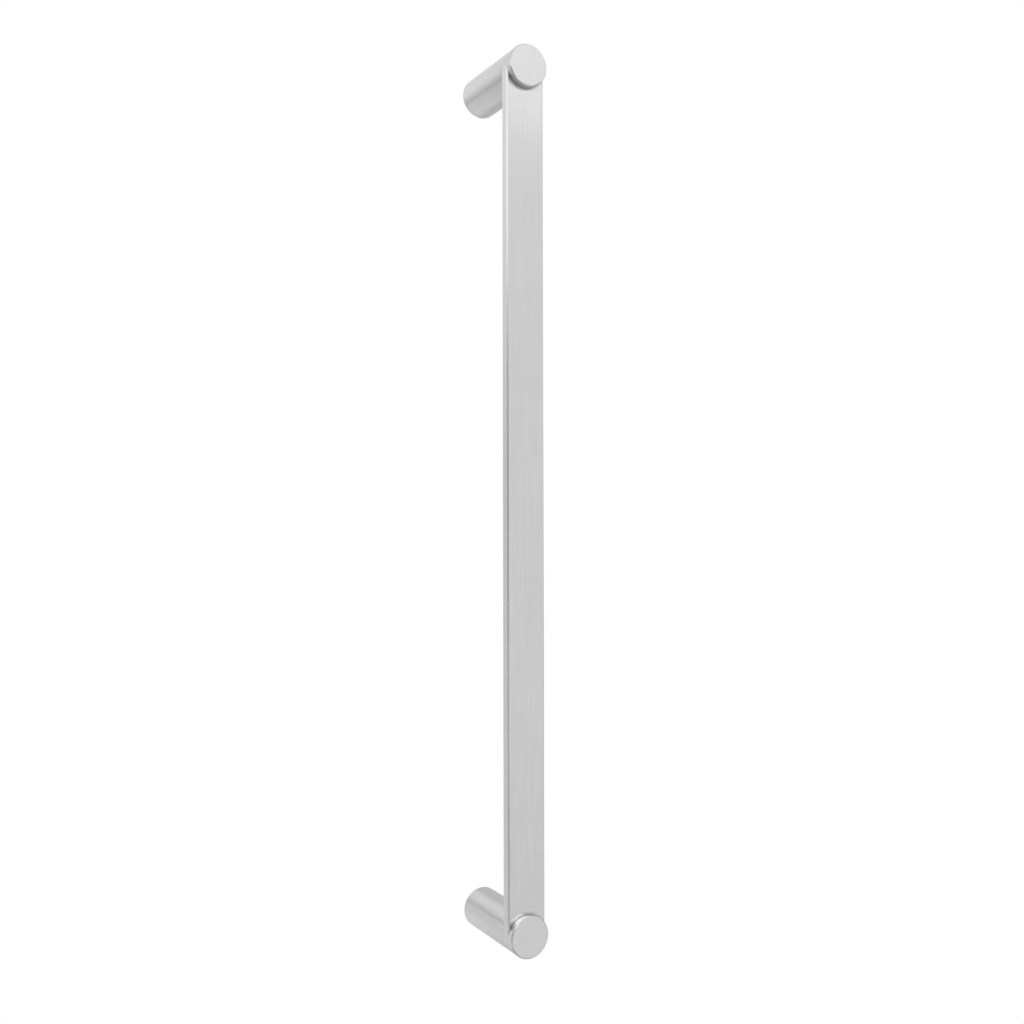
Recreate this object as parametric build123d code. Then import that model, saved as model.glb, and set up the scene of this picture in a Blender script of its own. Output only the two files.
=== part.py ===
from math import radians, tan
import os

from build123d import *

# Door pull handle: a flat bar let into two round posts, which bolt to the door from behind.
# Millimetres. +Z is up, +Y points into the door, and y = 0 is the door's face.
# The origin is on the door's face, midway between the axes of the two posts.

# Handle
fixing_centres = 620.0
projection = 76.0

# Posts
post_diameter = 30.0
button_height = 5.0  # how far a post's front end stands out from the bar
front_edge_chamfer = 0.7
back_edge_chamfer = 0.5

# Bar
bar_thickness = 8.0
bar_edge_round = 1.5
tongue_wall = 5.0  # left in the post around the bar's round tongue
bar_clearance = 0.05

# Thread for the bolt that comes through the door, M8
fixing_thread_diameter = 8.0
fixing_mouth_chamfer = 0.4
drill_point_angle = 118.0

# Set screw that holds the bar in its slot, M6 with a cup point and a hexagon socket
set_screw_diameter = 6.0
set_screw_length = 12.0
set_screw_clearance = 0.05
set_screw_edge_chamfer = 0.6
cup_point_diameter = 3.0
cup_rim_width = 0.25
cup_depth = 0.7
hexagon_key_size = 3.0
hexagon_socket_depth = 3.5
key_entry_depth = 4.0

# Places that the pieces share
post_axis = fixing_centres / 2
post_radius = post_diameter / 2
bar_width = post_diameter
bar_front = button_height - projection
bar_back = bar_front + bar_thickness
bar_middle = (bar_front + bar_back) / 2
tongue_radius = post_radius - tongue_wall

fixing_thread_radius = fixing_thread_diameter / 2
set_screw_hole_radius = set_screw_diameter / 2
set_screw_radius = set_screw_hole_radius - set_screw_clearance
set_screw_top = bar_back + set_screw_length
set_screw_hole_end = set_screw_top + key_entry_depth
drill_point_length = (fixing_thread_radius - set_screw_hole_radius) / tan(radians(drill_point_angle / 2))


def bar_flat(half_length, clearance):
    # The bar's front is seated, so the room for its fit is at the sides and the back.
    section = RectangleRounded(
        bar_width + 2 * clearance,
        bar_thickness + 2 * clearance,
        bar_edge_round + clearance,
    )
    return extrude(Pos(0, bar_middle + clearance) * section, half_length, both=True)


def tongue(clearance):
    # A disc on the upper post's axis, as thick as the bar.
    disc = Plane.XZ * Circle(tongue_radius + clearance)
    flat = extrude(disc, bar_thickness / 2 + clearance, both=True)
    return Pos(0, bar_middle + clearance, post_axis) * flat


def turned(outline):
    # Revolves a closed outline of (radius, y) points about the upper post's axis.
    return Pos(0, 0, post_axis) * revolve(make_face(Polyline(*outline, close=True)), Axis.Y)


def turned_over(piece):
    # The same piece for the lower end of the handle.
    return Rot(0, 180, 0) * piece


def make_grip_bar():
    return bar_flat(post_axis, 0) + tongue(0) + turned_over(tongue(0))


def make_post():
    post = turned([(0, 0), (post_radius, 0), (post_radius, -projection), (0, -projection)])
    front_edge = post.edges().filter_by(GeomType.CIRCLE).sort_by(Axis.Y).first
    post = chamfer(front_edge, front_edge_chamfer)
    back_edge = post.edges().filter_by(GeomType.CIRCLE).sort_by(Axis.Y).last
    post = chamfer(back_edge, back_edge_chamfer)
    bore = turned(
        [
            (0, 0),
            (fixing_thread_radius + fixing_mouth_chamfer, 0),
            (fixing_thread_radius, -fixing_mouth_chamfer),
            (fixing_thread_radius, set_screw_hole_end + drill_point_length),
            (set_screw_hole_radius, set_screw_hole_end),
            (set_screw_hole_radius, bar_middle),
            (0, bar_middle),
        ]
    )
    slot = bar_flat(post_axis + bar_clearance, bar_clearance)
    return post - slot - tongue(bar_clearance) - bore


def make_set_screw():
    rim_radius = cup_point_diameter / 2
    screw = turned(
        [
            (0, bar_back + cup_depth),
            (rim_radius - cup_rim_width, bar_back),
            (rim_radius, bar_back),
            (set_screw_radius, bar_back + set_screw_radius - rim_radius),
            (set_screw_radius, set_screw_top - set_screw_edge_chamfer),
            (set_screw_radius - set_screw_edge_chamfer, set_screw_top),
            (0, set_screw_top),
        ]
    )
    hexagon = Plane.XZ * RegularPolygon(hexagon_key_size / 2, 6, major_radius=False)
    socket = Pos(0, set_screw_top, post_axis) * extrude(hexagon, hexagon_socket_depth)
    return screw - socket


post = make_post()
set_screw = make_set_screw()
pieces = {
    "grip_bar": make_grip_bar(),
    "upper_post": post,
    "lower_post": turned_over(post),
    "upper_set_screw": set_screw,
    "lower_set_screw": turned_over(set_screw),
}

os.makedirs("parts", exist_ok=True)
for name, piece in pieces.items():
    export_step(piece, f"parts/{name}.step")
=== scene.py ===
from math import cos, pi, sin

import bpy
from mathutils import Euler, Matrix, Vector


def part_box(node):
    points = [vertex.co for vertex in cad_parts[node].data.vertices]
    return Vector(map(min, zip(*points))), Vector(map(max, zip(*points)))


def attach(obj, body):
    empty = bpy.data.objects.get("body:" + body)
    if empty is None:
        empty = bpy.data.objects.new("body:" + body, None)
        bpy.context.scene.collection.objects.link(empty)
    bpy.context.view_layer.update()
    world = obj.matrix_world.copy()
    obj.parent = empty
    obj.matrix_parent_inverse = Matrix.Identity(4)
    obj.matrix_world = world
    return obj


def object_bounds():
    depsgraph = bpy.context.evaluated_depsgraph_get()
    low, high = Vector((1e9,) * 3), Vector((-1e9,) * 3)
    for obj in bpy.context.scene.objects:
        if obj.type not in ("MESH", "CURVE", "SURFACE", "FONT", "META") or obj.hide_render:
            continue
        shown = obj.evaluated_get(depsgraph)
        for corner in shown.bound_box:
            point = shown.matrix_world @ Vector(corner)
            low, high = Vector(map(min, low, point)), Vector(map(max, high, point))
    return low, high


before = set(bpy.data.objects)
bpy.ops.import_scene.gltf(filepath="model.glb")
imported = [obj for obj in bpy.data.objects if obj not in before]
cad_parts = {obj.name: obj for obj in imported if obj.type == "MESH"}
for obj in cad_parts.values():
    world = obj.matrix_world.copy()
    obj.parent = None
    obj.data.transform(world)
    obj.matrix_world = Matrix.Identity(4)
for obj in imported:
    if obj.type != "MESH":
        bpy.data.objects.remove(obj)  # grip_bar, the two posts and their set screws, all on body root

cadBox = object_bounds()
mm = 0.001
ends = ("upper", "lower")
print("frame loaded:", ", ".join(sorted(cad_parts)))


def linearColour(hexColour):
    # sRGB hex to the linear values that the shaders take
    shares = [int(hexColour[i:i + 2], 16) / 255 for i in (1, 3, 5)]
    return [s / 12.92 if s <= 0.04045 else ((s + 0.055) / 1.055) ** 2.4 for s in shares] + [1.0]


def addNode(tree, kind, settings=None, inputs=None):
    # settings are the node's own properties, inputs are values or the sockets that feed them
    node = tree.nodes.new(kind)
    for name, value in (settings or {}).items():
        setattr(node, name, value)
    for name, value in (inputs or {}).items():
        if isinstance(value, bpy.types.NodeSocket):
            tree.links.new(value, node.inputs[name])
        else:
            node.inputs[name].default_value = value
    return node


def newMaterial(name):
    material = bpy.data.materials.new(name)
    material.use_nodes = True
    material.node_tree.nodes.clear()
    return material, material.node_tree


# Satin stainless steel, ground with a fine belt: an even neutral grey, reflections that smear
# across the grain, and hairlines along it that barely show. A real hairline is near 0.05 mm wide,
# so it is drawn coarser here.
satinBar = {
    "tones": ("#C8C8C8", "#CBCBCB", "#CECECE"),
    "roughness": (0.28, 0.24),  # at the darkest and at the lightest tone
    "sideRoughness": 0.16,  # more on the narrow sides, which are ground less finely
    "sidePaintedLight": 0.16,  # share of white painted onto them as light
    "anisotropy": 0.8,
    "grain": (1.1, 1.1, 28.0),  # mm per hairline along X, Y and Z
    "endGrain": (1.1, 1.1, 28.0),  # the same on faces towards the front and back
    "cloud": 20.0,  # mm
    "bump": 0.002,  # mm
    "edge": 0.3,  # mm, width of the edge that handling has rubbed brighter
    "wornEdge": "#D4D4D4",
    "jointAndShade": 3.2,  # mm, width of the dark joint line where two pieces meet, widened with painted contact shade
    "jointAndShadeTone": "#ACACAC",
    "shadeNearBar": 0.0,  # share of the tone taken away as painted shade under a wall near the bar
}
# The same steel turned on a lathe: rings round the wall, a flat end ground with upright hairlines, a
# narrower and darker joint line with painted contact shade where the bar goes in, and painted shade
# near the bar.
satinPost = dict(
    satinBar,
    grain=(40.0, 0.6, 40.0),
    endGrain=(0.9, 0.9, 7.0),
    roughness=(0.33, 0.29),
    sideRoughness=0.0,
    sidePaintedLight=0.0,
    anisotropy=0.1,
    bump=0.0008,
    jointAndShade=1.2,
    jointAndShadeTone="#727272",
    shadeNearBar=0.11,
)
# Plain machined steel of the set screws: darker and a little oily, with turning marks round it.
plainScrew = dict(
    satinBar,
    tones=("#9A9A98", "#A3A3A1", "#ADADAB"),
    roughness=(0.36, 0.28),
    sideRoughness=0.0,
    sidePaintedLight=0.0,
    anisotropy=0.3,
    grain=(8.0, 0.15, 8.0),
    endGrain=(0.2, 0.2, 0.2),
    cloud=3.0,
)
# What the three finishes share. In a pair, the first value is where a change starts.
sharedLook = {
    "endTurn": 0.8,  # Y of the normal, beyond which a face has the end's grain
    "sideTurn": (0.9, 0.99),  # X of the normal, towards a narrow side
    "underTurn": (0.5, -0.5),  # Z of the normal, towards the underside
    "edgeTurn": (0.99, 0.85),  # cosine between the true normal and one rounded off, towards an edge
    "jointAndShadeGap": (0.45, 0.95),  # share of open space around, from the joint outwards, over which the painted contact shade fades
    "shadeNearBarReach": (-12.0, -60.0),  # mm along the post, towards the bar, over which the painted shade grows
    "grainAxis": (0.05, 0.0, 1.0),  # upright, off true so that a wall facing up has a tangent too
    "grainDetail": 3.0,
    "cloudDetail": 2.0,
    "cloudShare": 0.35,  # of clouds in the pattern, the rest is hairlines
    "toneStops": (0.3, 0.5, 0.7),  # pattern values of the three tones
    "bumpStrength": 0.3,
    "jointAndShadeSamples": 12,
    "edgeSamples": 6,
}
mixA = 6  # a Mix node's colour sockets go by number, because their names find its value sockets
mixB = 7
mixResult = 2


def addGrain(tree, coords, cells, detail):
    stretched = addNode(tree, "ShaderNodeMapping", {}, {
        "Vector": coords.outputs["Object"],
        "Scale": [1 / (cell * mm) for cell in cells],
    })
    grain = addNode(tree, "ShaderNodeTexNoise", {}, {
        "Vector": stretched.outputs["Vector"],
        "Scale": 1.0,
        "Detail": detail,
    })
    return grain.outputs["Fac"]


def steelMaterial(name, look):
    material, tree = newMaterial(name)
    coords = addNode(tree, "ShaderNodeTexCoord")
    normal = addNode(tree, "ShaderNodeSeparateXYZ", {}, {"Vector": coords.outputs["Normal"]})

    # Grain, and the tone and roughness that follow it
    endwards = addNode(tree, "ShaderNodeMath", {"operation": "ABSOLUTE"}, {0: normal.outputs["Y"]})
    onEnd = addNode(tree, "ShaderNodeMath", {"operation": "GREATER_THAN"}, {
        0: endwards.outputs["Value"],
        1: sharedLook["endTurn"],
    })
    hairlines = addNode(tree, "ShaderNodeMix", {"data_type": "FLOAT"}, {
        "Factor": onEnd.outputs["Value"],
        "A": addGrain(tree, coords, look["grain"], sharedLook["grainDetail"]),
        "B": addGrain(tree, coords, look["endGrain"], sharedLook["grainDetail"]),
    })
    pattern = addNode(tree, "ShaderNodeMix", {"data_type": "FLOAT"}, {
        "Factor": sharedLook["cloudShare"],
        "A": hairlines.outputs["Result"],
        "B": addGrain(tree, coords, [look["cloud"]] * 3, sharedLook["cloudDetail"]),
    })
    darkest, middle, lightest = sharedLook["toneStops"]
    colour = addNode(tree, "ShaderNodeValToRGB", {}, {"Fac": pattern.outputs["Result"]})
    stops = colour.color_ramp.elements
    stops.new(middle)
    for stop, position, tone in zip(stops, sharedLook["toneStops"], look["tones"]):
        stop.position = position
        stop.color = linearColour(tone)
    roughness = addNode(tree, "ShaderNodeMapRange", {}, {
        "Value": pattern.outputs["Result"],
        "From Min": darkest,
        "From Max": lightest,
        "To Min": look["roughness"][0],
        "To Max": look["roughness"][1],
    })

    # Narrow sides: rougher, and painted lighter as light
    sideways = addNode(tree, "ShaderNodeMath", {"operation": "ABSOLUTE"}, {0: normal.outputs["X"]})
    onSide = addNode(tree, "ShaderNodeMapRange", {}, {
        "Value": sideways.outputs["Value"],
        "From Min": sharedLook["sideTurn"][0],
        "From Max": sharedLook["sideTurn"][1],
    })
    rougher = addNode(tree, "ShaderNodeMath", {"operation": "MULTIPLY_ADD"}, {
        0: onSide.outputs["Result"],
        1: look["sideRoughness"],
        2: roughness.outputs["Result"],
    })
    sideLight = addNode(tree, "ShaderNodeMath", {"operation": "MULTIPLY"}, {
        0: onSide.outputs["Result"],
        1: look["sidePaintedLight"],
    })

    # Hairlines in the surface, and reflections that smear across them
    bump = addNode(tree, "ShaderNodeBump", {}, {
        "Strength": sharedLook["bumpStrength"],
        "Distance": look["bump"] * mm,
        "Height": hairlines.outputs["Result"],
    })
    across = addNode(tree, "ShaderNodeVectorMath", {"operation": "CROSS_PRODUCT"}, {
        0: coords.outputs["Normal"],
        1: sharedLook["grainAxis"],  # gives the way across the bar, and along the axis on a post's wall
    })

    # Dark joint lines with painted contact shade around them, and worn edges
    openness = addNode(tree, "ShaderNodeAmbientOcclusion", {"samples": sharedLook["jointAndShadeSamples"]}, {
        "Distance": look["jointAndShade"] * mm,
    })
    offJointShade = addNode(tree, "ShaderNodeMapRange", {}, {
        "Value": openness.outputs["AO"],
        "From Min": sharedLook["jointAndShadeGap"][0],
        "From Max": sharedLook["jointAndShadeGap"][1],
    })
    rounded = addNode(tree, "ShaderNodeBevel", {"samples": sharedLook["edgeSamples"]}, {
        "Radius": look["edge"] * mm,
    })
    turned = addNode(tree, "ShaderNodeVectorMath", {"operation": "DOT_PRODUCT"}, {
        0: rounded.outputs["Normal"],
        1: coords.outputs["Normal"],
    })
    onEdge = addNode(tree, "ShaderNodeMapRange", {}, {
        "Value": turned.outputs["Value"],
        "From Min": sharedLook["edgeTurn"][0],
        "From Max": sharedLook["edgeTurn"][1],
    })
    worn = addNode(tree, "ShaderNodeMix", {"data_type": "RGBA"}, {
        "Factor": onEdge.outputs["Result"],
        mixA: colour.outputs["Color"],
        mixB: linearColour(look["wornEdge"]),
    })
    withJointShade = addNode(tree, "ShaderNodeMix", {"data_type": "RGBA"}, {
        "Factor": offJointShade.outputs["Result"],
        mixA: linearColour(look["jointAndShadeTone"]),
        mixB: worn.outputs[mixResult],
    })
    sideLitSteel = addNode(tree, "ShaderNodeMix", {"data_type": "RGBA"}, {
        "Factor": sideLight.outputs["Value"],
        mixA: withJointShade.outputs[mixResult],
        mixB: linearColour("#FFFFFF"),
    })

    # Painted shade on the underside of a wall near the bar
    spot = addNode(tree, "ShaderNodeSeparateXYZ", {}, {"Vector": coords.outputs["Object"]})
    nearBar = addNode(tree, "ShaderNodeMapRange", {"interpolation_type": "SMOOTHSTEP"}, {
        "Value": spot.outputs["Y"],
        "From Min": sharedLook["shadeNearBarReach"][0] * mm,
        "From Max": sharedLook["shadeNearBarReach"][1] * mm,
        "To Max": look["shadeNearBar"],
    })
    underneath = addNode(tree, "ShaderNodeMapRange", {}, {
        "Value": normal.outputs["Z"],
        "From Min": sharedLook["underTurn"][0],
        "From Max": sharedLook["underTurn"][1],
    })
    paintedShade = addNode(tree, "ShaderNodeMath", {"operation": "MULTIPLY"}, {
        0: nearBar.outputs["Result"],
        1: underneath.outputs["Result"],
    })
    offEnd = addNode(tree, "ShaderNodeMath", {"operation": "SUBTRACT", "use_clamp": True}, {
        0: paintedShade.outputs["Value"],
        1: onEnd.outputs["Value"],
    })
    shadedSteel = addNode(tree, "ShaderNodeMix", {"data_type": "RGBA"}, {
        "Factor": offEnd.outputs["Value"],
        mixA: sideLitSteel.outputs[mixResult],
        mixB: linearColour("#000000"),
    })

    steel = addNode(tree, "ShaderNodeBsdfPrincipled", {}, {
        "Base Color": shadedSteel.outputs[mixResult],
        "Metallic": 1.0,
        "Roughness": rougher.outputs["Value"],
        "Anisotropic": look["anisotropy"],
        "Tangent": across.outputs["Vector"],
        "Normal": bump.outputs["Normal"],
    })
    addNode(tree, "ShaderNodeOutputMaterial", {}, {"Surface": steel.outputs["BSDF"]})
    return material


def dressNode(name, material):
    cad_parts[name].data.materials.clear()
    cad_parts[name].data.materials.append(material)


barSteel = steelMaterial("satinStainlessSteelBar", satinBar)
postSteel = steelMaterial("satinStainlessSteelPost", satinPost)
screwSteel = steelMaterial("plainStainlessSteelScrew", plainScrew)
dressNode("grip_bar", barSteel)
for end in ends:
    dressNode(f"{end}_post", postSteel)
    dressNode(f"{end}_set_screw", screwSteel)
print("steel finishes on")


# Tapped threads in the posts' bores, M8 for the bolt through the door and M6 for the set screw.
# Each is one helical ridge that grows out of the bore's wall. Sizes are in mm, and mouth is the y
# of its first turn.
threads = {
    "M8": {"radius": 4.0, "pitch": 1.25, "turns": 35, "mouth": -1.1},
    "M6": {"radius": 3.0, "pitch": 1.0, "turns": 3, "mouth": -47.6},
}
ridge = {"height": 0.54, "base": 0.86, "crest": 0.26, "rooted": 0.02}  # shares of the pitch
ridgeSteps = 32  # in a turn
smoothAngle = pi / 6


def addThread(name, axisHeight, thread):
    pitch = thread["pitch"] * mm
    height = ridge["height"] * pitch
    middle = thread["radius"] * mm + ridge["rooted"] * pitch - height / 2
    deepEnd = thread["mouth"] * mm - thread["turns"] * pitch
    crestShare = ridge["crest"] / ridge["base"]
    bpy.ops.object.select_all(action="DESELECT")
    bpy.ops.mesh.primitive_plane_add(size=1.0)
    piece = bpy.context.object
    piece.name = name
    bpy.ops.object.mode_set(mode="EDIT")
    bpy.ops.mesh.select_mode(type="VERT")
    bpy.ops.transform.resize(value=(height, ridge["base"] * pitch, 1.0))
    bpy.ops.transform.translate(value=(middle, deepEnd, 0.0))
    bpy.ops.mesh.select_all(action="DESELECT")
    bpy.ops.object.mode_set(mode="OBJECT")
    for vertex in piece.data.vertices:
        vertex.select = vertex.co.x < middle  # the two corners at the crest
    bpy.ops.object.mode_set(mode="EDIT")
    bpy.ops.transform.resize(value=(1.0, crestShare, 1.0), center_override=(0.0, deepEnd, 0.0))
    bpy.ops.object.mode_set(mode="OBJECT")
    turns = piece.modifiers.new("turns", "SCREW")
    turns.axis = "Y"
    turns.screw_offset = pitch
    turns.iterations = thread["turns"]
    turns.steps = ridgeSteps
    turns.render_steps = ridgeSteps
    bpy.ops.object.modifier_apply(modifier="turns")
    bpy.ops.object.mode_set(mode="EDIT")
    bpy.ops.mesh.select_all(action="SELECT")
    bpy.ops.mesh.fill_holes(sides=0)  # caps both ends of the ridge
    bpy.ops.mesh.select_all(action="SELECT")
    bpy.ops.mesh.normals_make_consistent(inside=False)
    bpy.ops.transform.translate(value=(0.0, 0.0, axisHeight))
    bpy.ops.object.mode_set(mode="OBJECT")
    bpy.ops.object.shade_smooth_by_angle(angle=smoothAngle)
    piece.data.materials.append(postSteel)
    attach(piece, "root")


for end in ends:
    lowCorner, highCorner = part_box(f"{end}_post")
    for size, thread in threads.items():
        addThread(f"{end}Thread{size}", (lowCorner.z + highCorner.z) / 2, thread)
print("threads cut")


# Studio: white all round, with soft boxes and soft-edged paper cards that the steel mirrors.
# Places are azimuth in degrees (0 straight in front, to the right positive), distance and height
# in metres.
softBoxes = {
    "leftBox": {"place": (-64, 1.5, 0.73), "size": (2.1, 0.50), "brightness": 0.70},
    "backBox": {"place": (-156, 1.5, 0.88), "size": (1.1, 0.42), "brightness": 0.10},
    "rightBox": {"place": (24, 1.4, 1.08), "size": (1.14, 0.66), "brightness": 0.37},
    # Two far ones for the highlight on the lower button's rim, which sees them in the bar's face
    "frontBox": {"place": (-10, 4.0, 2.15), "size": (1.7, 0.60), "brightness": 7.5},
    "rimBox": {"place": (19, 4.0, 2.10), "size": (2.4, 0.66), "brightness": 3.4},
}
paperCards = {
    "cameraCard": {"place": (-52, 1.45, 0.02), "size": (3.2, 1.0), "solid": 0.7, "tone": "#AEAEAE"},
    "lowerCard": {"place": (-62, 1.55, -0.70), "size": (3.0, 1.2), "solid": 0.6, "tone": "#C6C6C6"},
    "lowFrontCard": {"place": (0, 1.45, -0.68), "size": (0.8, 0.5), "solid": 0.5, "tone": "#8A8A8A"},
    "rightCard": {"place": (100, 1.4, -0.40), "size": (1.6, 1.4), "solid": 0.6, "tone": "#B4B4B4"},
    # The dark band along both posts, with a haze that softens its upper side
    "backBand": {"place": (-146, 1.34, 0.05), "size": (0.36, 0.48), "solid": 0.1, "tone": "#727272"},
    "backHaze": {"place": (-146, 1.37, 0.22), "size": (0.5, 0.70), "solid": 0.0, "tone": "#C0C0C0"},
    "backMid": {"place": (-160, 1.5, -0.38), "size": (1.6, 0.9), "solid": 0.6, "tone": "#EAEAEA"},
    "backLow": {"place": (180, 1.6, -1.0), "size": (3.6, 1.1), "solid": 0.7, "tone": "#F2F2F2"},
    "behindLow": {"place": (148, 1.6, -0.30), "size": (1.4, 1.4), "solid": 0.6, "tone": "#D0D0D0"},
    "backRail": {"place": (158, 1.5, 0.50), "size": (1.3, 0.32), "solid": 0.5, "tone": "#909090"},
    # Keeps the two far boxes off the upper part of the handle
    "frontFlag": {
        "place": (6, 1.5, 1.06),
        "size": (3.4, 0.56),
        "solid": 0.8,
        "tone": "#FFFFFF",
        "shades": True,
    },
    "overCard": {"place": (-30, 0.2, 1.6), "size": (2.6, 2.6), "solid": 0.6, "tone": "#F2F2F2"},
    "underCard": {"place": (0, 0.0, -0.93), "size": (1.9, 1.9), "solid": 0.5, "tone": "#B4B4B4"},
}
paleFloor = {"drop": 0.62, "size": (2.2, 2.2), "solid": 0.5, "tone": "#EEEEEE"}
aimShare = 0.5  # boxes and cards face the point on the Z axis at this share of their height


def around(azimuth, distance, height):
    turn = azimuth * pi / 180
    return Vector((distance * sin(turn), -distance * cos(turn), height))


def facing(place):
    return (Vector((0, 0, place.z * aimShare)) - place).to_track_quat("-Z", "Y").to_euler()


def addSoftBox(name, box):
    width, height = box["size"]
    lamp = bpy.data.lights.new(name, "AREA")
    lamp.shape = "RECTANGLE"
    lamp.size = width
    lamp.size_y = height
    lamp.energy = box["brightness"] * pi * width * height  # watts that give this brightness
    holder = bpy.data.objects.new(name, lamp)
    holder.location = around(*box["place"])
    holder.rotation_euler = facing(holder.location)
    holder.visible_camera = False
    bpy.context.scene.collection.objects.link(holder)


def addPaper(name, place, turn, look):
    # A sheet of matte paper that fades to nothing at its edges, so that it leaves no hard line.
    # The plane is 2 wide before it is scaled, so its Object coordinates run from -1 to 1.
    bpy.ops.object.select_all(action="DESELECT")
    bpy.ops.mesh.primitive_plane_add(size=2.0, location=place, rotation=turn)
    sheet = bpy.context.object
    sheet.name = name
    sheet.scale = (look["size"][0] / 2, look["size"][1] / 2, 1.0)
    material, tree = newMaterial(name + "Paper")
    coords = addNode(tree, "ShaderNodeTexCoord")
    outwards = addNode(tree, "ShaderNodeVectorMath", {"operation": "LENGTH"}, {
        0: coords.outputs["Object"],
    })
    fade = addNode(tree, "ShaderNodeMapRange", {"interpolation_type": "SMOOTHSTEP"}, {
        "Value": outwards.outputs["Value"],
        "From Min": look["solid"],
        "From Max": 1.0,
    })
    paper = addNode(tree, "ShaderNodeBsdfDiffuse", {}, {"Color": linearColour(look["tone"])})
    clear = addNode(tree, "ShaderNodeBsdfTransparent")
    faded = addNode(tree, "ShaderNodeMixShader", {}, {
        0: fade.outputs["Result"],
        1: paper.outputs["BSDF"],
        2: clear.outputs["BSDF"],
    })
    addNode(tree, "ShaderNodeOutputMaterial", {}, {"Surface": faded.outputs["Shader"]})
    sheet.data.materials.append(material)
    return sheet


world = bpy.data.worlds.new("whiteStudio")
world.use_nodes = True
world.node_tree.nodes.clear()
white = addNode(world.node_tree, "ShaderNodeBackground", {}, {
    "Color": linearColour("#FFFFFF"),
    "Strength": 1.0,
})
addNode(world.node_tree, "ShaderNodeOutputWorld", {}, {"Surface": white.outputs["Background"]})
bpy.context.scene.world = world
addPaper("paleFloor", (0, 0, cadBox[0].z - paleFloor["drop"]), (0, 0, 0), paleFloor)
for name, card in paperCards.items():
    place = around(*card["place"])
    sheet = addPaper(name, place, facing(place), card)
    sheet.visible_camera = False  # the steel mirrors it, and it lights nothing else
    sheet.visible_diffuse = False
    sheet.visible_shadow = card.get("shades", False)
for name, box in softBoxes.items():
    addSoftBox(name, box)
print("studio set")


photoCamera = {
    "place": (-0.4010, -0.7903, -0.0144),
    "turn": (90.42, 0.11, -28.44),  # degrees: a little up, a hair of roll, towards the right
    "lens": 40.57,
    "sensor": 36.0,
}
camera = bpy.data.objects.new("photoCamera", bpy.data.cameras.new("photoCamera"))
camera.location = photoCamera["place"]
camera.rotation_euler = Euler([turn * pi / 180 for turn in photoCamera["turn"]])
camera.data.lens = photoCamera["lens"]
camera.data.sensor_width = photoCamera["sensor"]
bpy.context.scene.collection.objects.link(camera)
bpy.context.scene.camera = camera
bpy.context.scene.view_settings.view_transform = "Standard"
print("camera set")
